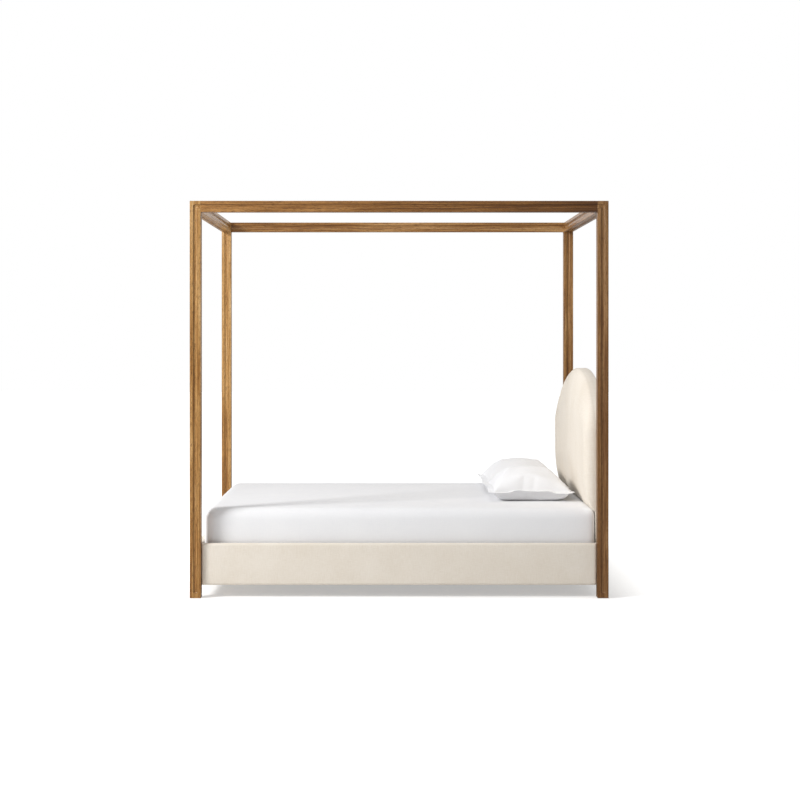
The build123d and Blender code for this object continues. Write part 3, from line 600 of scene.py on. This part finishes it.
def rail_upholstery(name, kind, side):
    """Batting and linen wrapped over one rail board, rounded off where it meets the posts"""
    length = RAIL_LENGTH[kind]
    # rings stand close where the ends are rounded, and evenly between
    ends = [0.0003, 0.0015, 0.004, 0.008, 0.013, 0.022, 0.040, 0.070]
    steps = int((length - 2 * ends[-1]) / RAIL_RING_STEP)
    middle = [ends[-1] + (length - 2 * ends[-1]) * n / steps for n in range(1, steps)]
    rings = []
    for run in ends + middle + [length - end for end in reversed(ends)]:
        to_end = min(run, length - run)
        recede = RAIL_ROUND - math.sqrt(RAIL_ROUND ** 2 - max(0.0, RAIL_ROUND - to_end) ** 2)
        bulge = RAIL_BULGE * min(1.0, to_end / BULGE_REACH)
        along = run - length / 2
        ring = []
        for depth, z in rail_profile(recede, bulge):
            soft = 1.0 - min(1.0, depth / RAIL_SOFT)
            wave = rippled((along, z, 0.0), RAIL_RIPPLES)
            ring.append(rail_point(kind, side, along, depth - soft * wave, z))
        rings.append(ring)
    return skin(name, rings)


for rail, kind, side in (("side_rail_{}_left", "side", -1), ("side_rail_{}_right", "side", 1),
                         ("foot_rail_{}", "end", -1), ("head_rail_{}", "end", 1)):
    padding = rail_upholstery(rail.format("upholstery"), kind, side)
    finish(padding, linen, "bed", "oatmeal_weave", rail.format("cover"))


# ------------------------------------------------------- mattress and its sheet
def bed_ring(inset, z):
    """A rounded rectangle drawn in from the mattress's outline"""
    half_x, half_y = BED_HALF_X - inset, BED_HALF_Y - inset
    corner = max(0.006, BED_CORNER - inset)
    middles = [Vector((x * (half_x - corner), y * (half_y - corner), z))
               for x, y in ((1, -1), (1, 1), (-1, 1), (-1, -1))]
    points = []
    for n, middle in enumerate(middles):
        for step in range(CORNER_STEPS + 1):
            angle = math.radians(90 * (n - 1 + step / CORNER_STEPS))
            points.append(middle + corner * Vector((math.cos(angle), math.sin(angle), 0)))
        side = middles[(n + 1) % 4] - middle
        steps = LONG_STEPS if n % 2 else SHORT_STEPS
        start = points[-1]
        points += [start + side * step / steps for step in range(1, steps)]
    return points


def block_rings(grow, low, high, hem):
    """Rings up a rounded block: under it, round its lower edge, up its side and over its top"""
    lower, upper = BOTTOM_EDGE + grow, TOP_EDGE + grow
    side_low, side_high = low + lower, high - upper
    side_steps = 7
    rings = [bed_ring(hem, low), bed_ring(hem * 0.7 + lower * 0.2, low)]
    for sine, cosine in quarter(5):
        rings.append(bed_ring(lower * (1 - sine) - grow, low + lower * (1 - cosine)))
    for n in range(1, side_steps):
        rings.append(bed_ring(-grow, side_low + (side_high - side_low) * n / side_steps))
    for sine, cosine in quarter(10):
        rings.append(bed_ring(upper * (1 - cosine) - grow, side_high + upper * sine))
    for inset in (0.075, 0.10, 0.14, 0.19, 0.25, 0.32, 0.40, 0.48, 0.56, 0.64, 0.71, 0.748):
        rings.append(bed_ring(inset, high))
    return rings


def squarer(out, up, power):
    """How far a point of a round corner moves out, both ways, to make the corner squarer"""
    if out <= 0.0 or up <= 0.0:
        return 0.0, 0.0
    scale = math.hypot(out, up) / (out ** power + up ** power) ** (1 / power) - 1
    return out * scale, up * scale


def snug_to_headboard(piece):
    """Fill the sheet's head end out against the headboard, where it is tucked down tight"""
    edge, corner = TOP_EDGE + SHEET, BED_CORNER + SHEET
    for vert in piece.data.vertices:
        side = math.copysign(1.0, vert.co.y)
        out, across = squarer((vert.co.x - BED_HALF_X - SHEET) / corner + 1,
                              (abs(vert.co.y) - BED_HALF_Y - SHEET) / corner + 1, SQUARE_CORNER)
        vert.co.x += out * corner
        vert.co.y += side * across * corner
        out, up = squarer((vert.co.x - BED_HALF_X - SHEET) / edge + 1,
                          (vert.co.z - SHEET_TOP) / edge + 1, SQUARE_EDGE)
        vert.co.x += out * edge
        vert.co.z += up * edge


mattress = skin("mattress_ticking", block_rings(
    grow=-0.0012, low=DECK + SHEET + 0.0002, high=DECK + BED_THICK - 0.001, hem=0.5))
finish(mattress, ticking, "bed", "mattress_ticking", "mattress")

sheet = skin("fitted_sheet_percale", block_rings(
    grow=SHEET, low=DECK, high=SHEET_TOP, hem=SHEET_HEM), first=False)
snug_to_headboard(sheet)
modify(sheet, "SOLIDIFY", thickness=SHEET, offset=-1.0)
finish(sheet, percale, "bed", "white_percale", "fitted_sheet")


# ---------------------------------------------------------------------- pillows
def sewn_panels(name, seed):
    """Two panels of percale sewn together round their edge, with a flat flange outside the seam"""
    alone()
    bpy.ops.mesh.primitive_grid_add(
        x_subdivisions=PILLOW_CELLS_X, y_subdivisions=PILLOW_CELLS_Y, size=2.0)
    piece = bpy.context.object
    piece.name = piece.data.name = name
    bpy.ops.object.mode_set(mode="EDIT")
    mesh = bmesh.from_edit_mesh(piece.data)
    for face in mesh.faces:
        middle = face.calc_center_median()
        face.select_set(abs(middle.x) < SEAM_X and abs(middle.y) < SEAM_Y)
    bpy.ops.mesh.duplicate()
    bpy.ops.mesh.flip_normals()
    mesh = bmesh.from_edit_mesh(piece.data)
    for vert in mesh.verts:
        if abs(vert.co.x) < SEAM_X - 1e-4 and abs(vert.co.y) < SEAM_Y - 1e-4:
            vert.co.z = -PANEL_APART if vert.select else PANEL_APART
        vert.co.x *= PILLOW_HALF_X
        vert.co.y *= PILLOW_HALF_Y
        vert.co.z += PANEL_CRUMPLE * ripple(vert.co, 0.05, seed)
    bpy.ops.mesh.select_all(action="SELECT")
    bpy.ops.mesh.remove_doubles(threshold=1e-5)
    bpy.ops.object.mode_set(mode="OBJECT")
    stuffed = piece.vertex_groups.new(name="stuffed")
    stuffed.add([vert.index for vert in piece.data.vertices if abs(vert.co.z) > FLANGE_FLAT], 1.0, "REPLACE")
    return piece


def swell(piece):
    """Stuff the panels: pressure fills them out until the seam puckers and the flange buckles"""
    pick(piece)
    cloth_form = piece.modifiers.new("swell", "CLOTH")
    settings = cloth_form.settings
    settings.quality = 8
    settings.mass = 0.2
    settings.tension_stiffness = 30.0
    settings.compression_stiffness = 30.0
    settings.shear_stiffness = 10.0
    settings.bending_stiffness = 3.0
    settings.use_pressure = True
    settings.uniform_pressure_force = 4.5
    settings.vertex_group_pressure = "stuffed"
    settings.effector_weights.gravity = 0.0
    cloth_form.collision_settings.use_collision = False
    for number in range(1, SWELL_FRAMES + 1):
        bpy.context.scene.frame_set(number)
    bpy.ops.object.modifier_apply(modifier=cloth_form.name)
    bpy.context.scene.frame_set(1)


def puffed(point):
    """Where a point of the flat panels comes to on a plain, evenly stuffed pillow, 1 high each way"""
    if abs(point.z) < FLANGE_FLAT:
        return Vector((point.x, point.y, 0.0))
    across = 1 - abs(point.x / (PILLOW_HALF_X * SEAM_X)) ** PUFF_ACROSS
    along = 1 - abs(point.y / (PILLOW_HALF_Y * SEAM_Y)) ** PUFF_ALONG
    return Vector((point.x, point.y, math.copysign(max(0.0, across * along) ** PUFF_ROUND, point.z)))


def fitted(points):
    """Points scaled so that they reach just as far as the pillow does, and are 1 high each way"""
    wide = PILLOW_HALF_X / max(abs(point.x) for point in points)
    long = PILLOW_HALF_Y / max(abs(point.y) for point in points)
    top = max(point.z for point in points)
    low = -min(point.z for point in points)
    return [Vector((point.x * wide, point.y * long, point.z / (top if point.z > 0 else low)))
            for point in points]


def evened(piece, offsets, rounds):
    """Offsets at a piece's vertices, averaged with those of their neighbours a number of times"""
    near = [[] for offset in offsets]
    for edge in piece.data.edges:
        one, other = edge.vertices
        near[one].append(other)
        near[other].append(one)
    for n in range(rounds):
        offsets = [sum((offsets[other] for other in others), offset) / (len(others) + 1)
                   for offset, others in zip(offsets, near)]
    return offsets


def flange_wave(point):
    """The flange stands up a little in the middle of each long run and droops to its corners"""
    out_x, out_y = abs(point.x) / PILLOW_HALF_X, abs(point.y) / PILLOW_HALF_Y
    to_corner = min(1.0, max(0.0, (out_x - 0.38) / 0.2))
    droop = to_corner * to_corner * (3 - 2 * to_corner)
    near_side = out_y ** 6
    side = near_side * (FLANGE_LIFT - FLANGE_DROOP * droop)
    end = out_x ** 8 * FLANGE_END_WAVE * (ripple(point, 0.07, 6) - 1)
    return side + end * (1 - near_side)


def height_over_seam(point, plain):
    """How high a point comes, full size: domed on top, soon flat below, near level on the flange"""
    if plain.z > 0:
        return point.z * (PILLOW_TOP - PILLOW_SEAM)
    if plain.z < 0:
        still_up = 1 + max(-1.0, min(0.0, point.z))
        return (1 - still_up ** PUFF_UNDER) * (PILLOW_LOW - PILLOW_SEAM)
    return FLANGE_CREASES * point.z * (PILLOW_TOP - PILLOW_SEAM)


def settle(piece, plain, y):
    """Keep the creases of the swollen pillow on the plain one, and lay that in its place"""
    swollen = fitted([vert.co for vert in piece.data.vertices])
    moved = [real - smooth for smooth, real in zip(plain, swollen)]
    broad = evened(piece, moved, CREASE_ROUNDS)
    for vert, smooth, move, wide in zip(piece.data.vertices, plain, moved, broad):
        point = smooth + CREASES * (move - wide)
        z = PILLOW_SEAM + height_over_seam(point, smooth) + flange_wave(smooth)
        vert.co = (point.x * SHAM_FIT + PILLOW_X, point.y * SHAM_FIT + y, max(PILLOW_LOW, z))


def pillow(name, seed):
    """One pillow in its flanged sham"""
    cover = sewn_panels(f"pillow_sham_percale_{name}", seed)
    plain = [puffed(vert.co) for vert in cover.data.vertices]
    swell(cover)
    settle(cover, plain, PILLOW_Y[name])
    cover.vertex_groups.clear()
    modify(cover, "SUBSURF", levels=1, render_levels=1)
    modify(cover, "SOLIDIFY", thickness=SHAM_THICK, offset=0.0, solidify_mode="NON_MANIFOLD")
    pick(cover)
    bpy.ops.object.shade_smooth()
    finish(cover, percale, f"pillow_{name}", "white_percale", f"pillow_sham_{name}", f"pillow_filling_{name}")


for name, seed in (("left", 3), ("right", 8)):
    pillow(name, seed)


# ----------------------------------------------------------------- slat webbing
def slat_strap(name, y):
    """Webbing stapled under each slat, hanging a touch slack between them"""
    half, flat = STRAP_WIDE / 2, STRAP_WIDE / 2 - STRAP_EASE
    section = [(-half, -0.3), (-flat, 0.0), (0.0, 0.0), (flat, 0.0), (half, -0.3),
               (half, -0.7), (flat, -1.0), (0.0, -1.0), (-flat, -1.0), (-half, -0.7)]
    rings = []
    for n in range(STRAP_STEPS + 1):
        x = STRAP_HALF * (2 * n / STRAP_STEPS - 1)
        from_slat = abs((x / SLAT_PITCH) % 1.0 - 0.5) * SLAT_PITCH
        open_span = max(0.0, from_slat - SLAT_WIDE / 2) / (SLAT_PITCH / 2 - SLAT_WIDE / 2)
        top = SLAT_UNDER - 0.0002 - STRAP_SLACK * math.sin(math.pi / 2 * open_span) ** 2
        rings.append([Vector((x, y + across, top + up * STRAP_THICK)) for across, up in section])
    return skin(name, rings)


for name, y, replaced in (("left", -STRAP_Y, ["slat_straps"]), ("right", STRAP_Y, [])):
    strap = slat_strap(f"slat_webbing_{name}", y)
    finish(strap, webbing, "bed", "strap_webbing", *replaced)


# ---------------------------------------------------- smooth shading of the oak
def smooth_but_for_arrises():
    """A modifier's nodes that shade a mesh smooth except along its sharp edges"""
    group = bpy.data.node_groups.new("smooth_but_for_arrises", "GeometryNodeTree")
    group.interface.new_socket("Geometry", in_out="INPUT", socket_type="NodeSocketGeometry")
    group.interface.new_socket("Geometry", in_out="OUTPUT", socket_type="NodeSocketGeometry")
    given = add(group, "NodeGroupInput").outputs[0]
    bare = add(group, "GeometryNodeRemoveAttribute", {"Geometry": given, "Name": "custom_normal"})
    joined = add(group, "GeometryNodeMergeByDistance", {"Geometry": bare.outputs[0], "Distance": 1e-6})
    turn = add(group, "GeometryNodeInputMeshEdgeAngle").outputs["Unsigned Angle"]
    sharp = add(group, "FunctionNodeCompare", {0: turn, 1: math.radians(36)}, operation="GREATER_THAN")
    faces = add(group, "GeometryNodeSetShadeSmooth", {"Geometry": joined.outputs[0]})
    edges = add(group, "GeometryNodeSetShadeSmooth", {
        "Geometry": faces.outputs[0], "Selection": sharp.outputs[0], "Shade Smooth": False}, domain="EDGE")
    add(group, "NodeGroupOutput", {0: edges.outputs[0]})
    return group


smoothing = smooth_but_for_arrises()
for node in OAKS:
    nodes[node].modifiers.new("smooth", "NODES").node_group = smoothing
    weighted = nodes[node].modifiers.new("flats stay flat", "WEIGHTED_NORMAL")
    weighted.keep_sharp = True


# ------------------------------------------------------------------------ stage
def floor_paint():
    """Matt white paint. It glows for the camera alone, more with the distance from the footprint"""
    material, tree = new_material("floor_matt_white")
    place = add(tree, "ShaderNodeTexCoord").outputs["Object"]
    from_middle = add(tree, "ShaderNodeVectorMath", {0: place}, operation="ABSOLUTE")
    outside = add(tree, "ShaderNodeVectorMath", {
        0: from_middle.outputs[0], 1: FOOTPRINT}, operation="SUBTRACT")
    away = add(tree, "ShaderNodeSeparateXYZ", {"Vector": outside.outputs[0]})
    farther = add(tree, "ShaderNodeMath", {
        0: away.outputs[0], 1: away.outputs[1]}, operation="MAXIMUM")
    strength = add(tree, "ShaderNodeValToRGB", {"Fac": farther.outputs[0]}, stops=[
        (distance, grey(glow)) for distance, glow in FLOOR_GLOW])
    glow = add(tree, "ShaderNodeEmission", {
        "Color": linear("#FFFFFF"), "Strength": strength.outputs["Color"]})
    matt = add(tree, "ShaderNodeBsdfDiffuse", {"Color": linear("#F4F4F4")})
    lit = add(tree, "ShaderNodeAddShader", {0: matt.outputs[0], 1: glow.outputs[0]})
    seen = add(tree, "ShaderNodeLightPath").outputs["Is Camera Ray"]
    floor_shader = add(tree, "ShaderNodeMixShader", {0: seen, 1: matt.outputs[0], 2: lit.outputs[0]})
    add(tree, "ShaderNodeOutputMaterial", {"Surface": floor_shader.outputs[0]})
    return material


def studio_world():
    """Even light from all round, and a white backdrop where it is seen, mirrored or seen through"""
    world = bpy.data.worlds.new("studio")
    world.use_nodes = True
    tree = world.node_tree
    tree.nodes.clear()
    ray = add(tree, "ShaderNodeLightPath").outputs
    direct = add(tree, "ShaderNodeMath", {
        0: ray["Is Camera Ray"], 1: ray["Is Glossy Ray"]}, operation="MAXIMUM")
    shown = add(tree, "ShaderNodeMath", {
        0: direct.outputs[0], 1: ray["Is Transmission Ray"]}, operation="MAXIMUM")
    strength = add(tree, "ShaderNodeMapRange", {
        "Value": shown.outputs[0], "To Min": ROOM_LIGHT, "To Max": BACKDROP})
    sky = add(tree, "ShaderNodeBackground", {
        "Color": linear("#FFFFFF"), "Strength": strength.outputs[0]})
    add(tree, "ShaderNodeOutputWorld", {"Surface": sky.outputs[0]})
    return world


def softbox(name, place, target, size, power):
    """A square area light aimed at a point"""
    lamp = bpy.data.lights.new(name, "AREA")
    lamp.size = size
    lamp.energy = power
    light = bpy.data.objects.new(name, lamp)
    bpy.context.scene.collection.objects.link(light)
    light.location = place
    light.rotation_euler = (Vector(target) - Vector(place)).to_track_quat("-Z", "Y").to_euler()


def set_camera(place, lens, shift):
    """The scene's camera, level and square to the bed's left side"""
    eye = bpy.data.cameras.new("camera")
    eye.lens = lens
    eye.sensor_width = 36.0
    eye.shift_x, eye.shift_y = shift
    camera = bpy.data.objects.new("camera", eye)
    bpy.context.scene.collection.objects.link(camera)
    camera.location = place
    camera.rotation_euler = (math.radians(90), 0, 0)
    bpy.context.scene.camera = camera


alone()
bpy.ops.mesh.primitive_plane_add(size=60.0)
floor = bpy.context.object
floor.name = "floor"
paint(floor, floor_paint())

bpy.context.scene.world = studio_world()
softbox("key_softbox", place=(-6.0, -3.8, 4.2), target=(0.0, 0.0, 0.9), size=1.8, power=425)
softbox("top_softbox", place=(0.0, 0.0, 4.6), target=(0.0, 0.0, 0.0), size=3.0, power=42)
set_camera(place=(-0.0545, -9.227, 1.352), lens=73.4, shift=(0.0143, -0.0804))
bpy.context.scene.view_settings.view_transform = "Standard"
